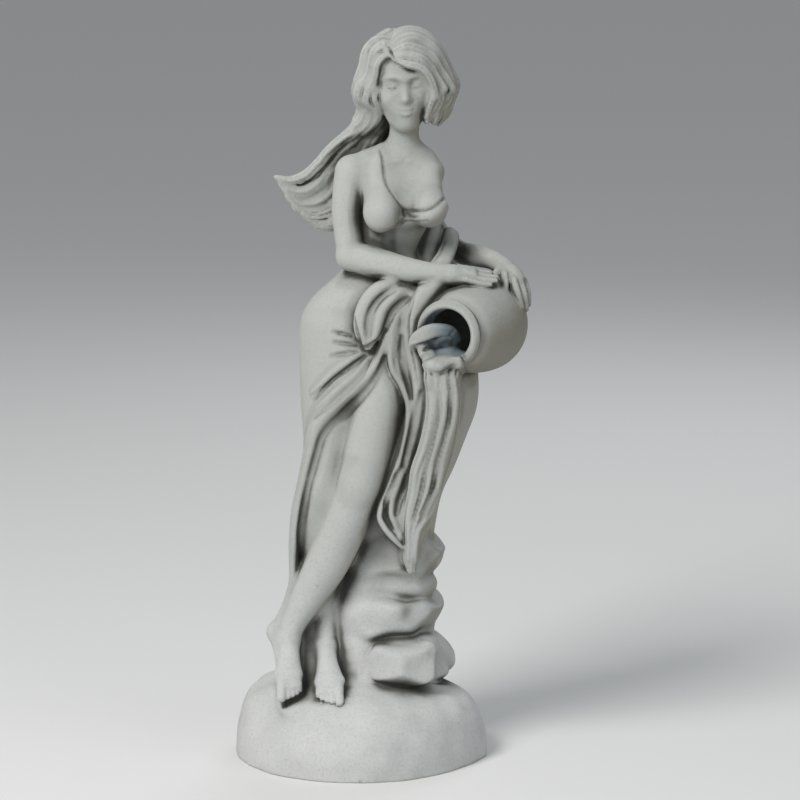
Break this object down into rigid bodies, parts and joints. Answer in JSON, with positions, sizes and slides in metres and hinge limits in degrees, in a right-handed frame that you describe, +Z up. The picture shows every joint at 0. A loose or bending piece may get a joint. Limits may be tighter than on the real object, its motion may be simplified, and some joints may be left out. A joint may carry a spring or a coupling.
{
  "type": "fountain spout statue",
  "caption": "Cast-stone woman in a wrapped skirt, cross-legged on a boulder base, pouring a carved stream of water from a hollow round jug held at her hip.",
  "frame": {"origin": "centre of the boulder's flat underside", "axes": "+Z up through the figure, -Y the way that she faces, +X towards the jug under her left arm"},
  "size_m": [0.3256, 0.2439, 0.81],
  "materials": {
    "cast_stone": "weathered, fine grained"
  },
  "bodies": {
    "root": {"statue": "cast_stone"}
  },
  "joints": []
}
